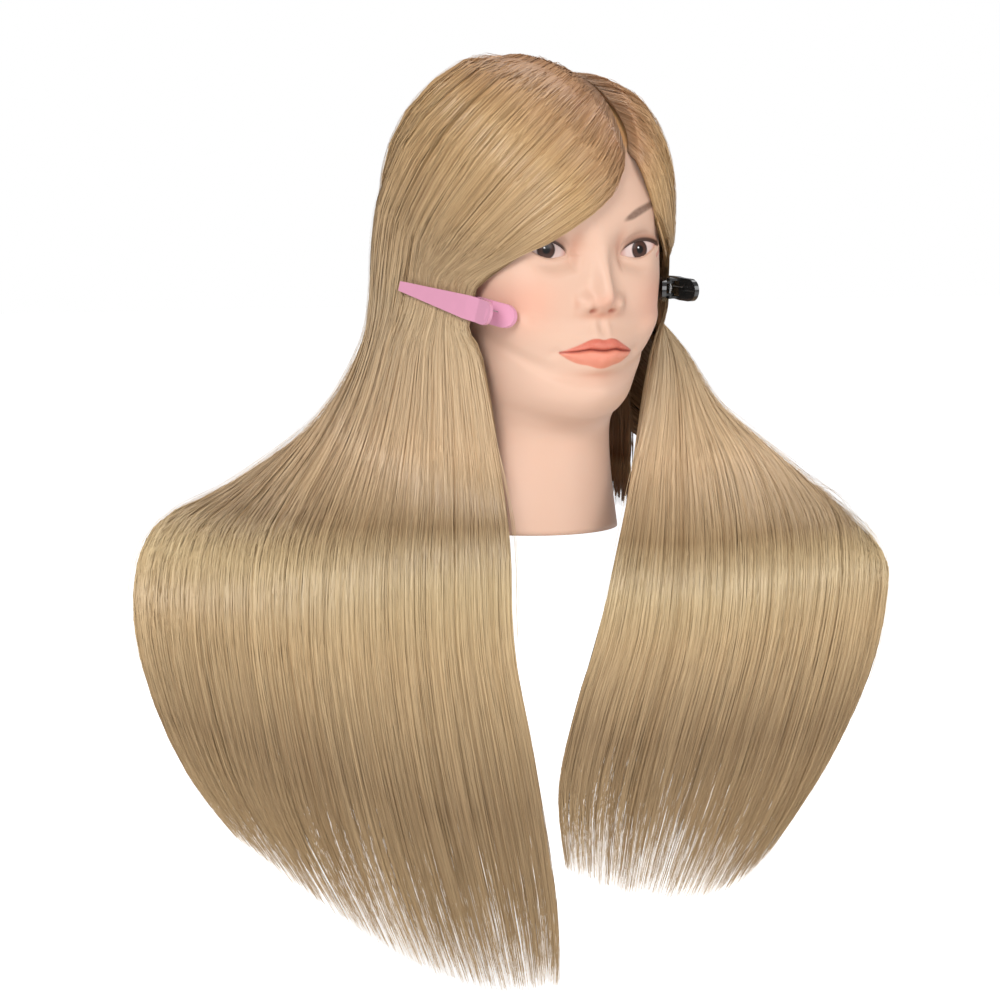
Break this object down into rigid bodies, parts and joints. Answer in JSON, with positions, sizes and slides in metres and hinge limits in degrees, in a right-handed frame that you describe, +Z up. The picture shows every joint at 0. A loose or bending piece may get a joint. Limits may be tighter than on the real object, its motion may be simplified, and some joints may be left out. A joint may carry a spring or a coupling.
{
  "type": "mannequin training head",
  "caption": "Hollow vinyl training head with a painted face, long straight side-parted ash-blonde hair and hinged duckbill clips holding the front locks.",
  "frame": {"origin": "centre of the clamp socket's mouth, in the plane of the neck's lower rim", "axes": "+Z up the neck, -Y the way the face looks, +X the mannequin's left"},
  "size_m": [0.4047, 0.3005, 0.5898],
  "materials": {
    "vinyl_skin": "satin moulded vinyl with airbrushed make-up",
    "root_glue": "matte cured glue",
    "plug_plastic": "matte moulded",
    "eye_gloss": "clear gloss",
    "hair": "silky long fibre",
    "pink_plastic": "satin",
    "black_plastic": "gloss",
    "steel": "bright drawn wire"
  },
  "bodies": {
    "head": {"head_shell": "vinyl_skin", "root_backing": "root_glue", "neck_plug": "plug_plastic", "right_eye": "eye_gloss", "left_eye": "eye_gloss", "right_front_lock": "hair", "right_side_lock": "hair", "right_back_lock": "hair", "right_under_lock": "hair", "left_front_lock": "hair", "left_side_lock": "hair", "left_back_lock": "hair", "left_under_lock": "hair"},
    "pink_clip": {"pink_clip_lower_jaw": "pink_plastic", "pink_clip_pin": "steel", "pink_clip_spring": "steel"},
    "pink_clip_top": {"pink_clip_upper_jaw": "pink_plastic"},
    "black_clip": {"black_clip_lower_jaw": "black_plastic", "black_clip_pin": "steel", "black_clip_spring": "steel"},
    "black_clip_top": {"black_clip_upper_jaw": "black_plastic"}
  },
  "joints": [
    {"name": "pink_clip_slide", "type": "slide", "parent": "head", "child": "pink_clip", "axis": [0.2761, -0.9416, -0.1926], "range_m": [0, 0.08]},
    {"name": "pink_clip_open", "type": "hinge", "parent": "pink_clip", "child": "pink_clip_top", "pos_m": [-0.07092, -0.05927, 0.14235], "axis": [0.174, -0.1481, 0.9735], "range_deg": [0, 28], "deforming": ["pink_clip_spring"]},
    {"name": "black_clip_slide", "type": "slide", "parent": "head", "child": "black_clip", "axis": [-0.2557, -0.9635, -0.0785], "range_m": [0, 0.08]},
    {"name": "black_clip_open", "type": "hinge", "parent": "black_clip", "child": "black_clip_top", "pos_m": [0.07432, -0.05063, 0.15357], "axis": [0.02, 0.0759, -0.9969], "range_deg": [0, 28], "deforming": ["black_clip_spring"]}
  ]
}
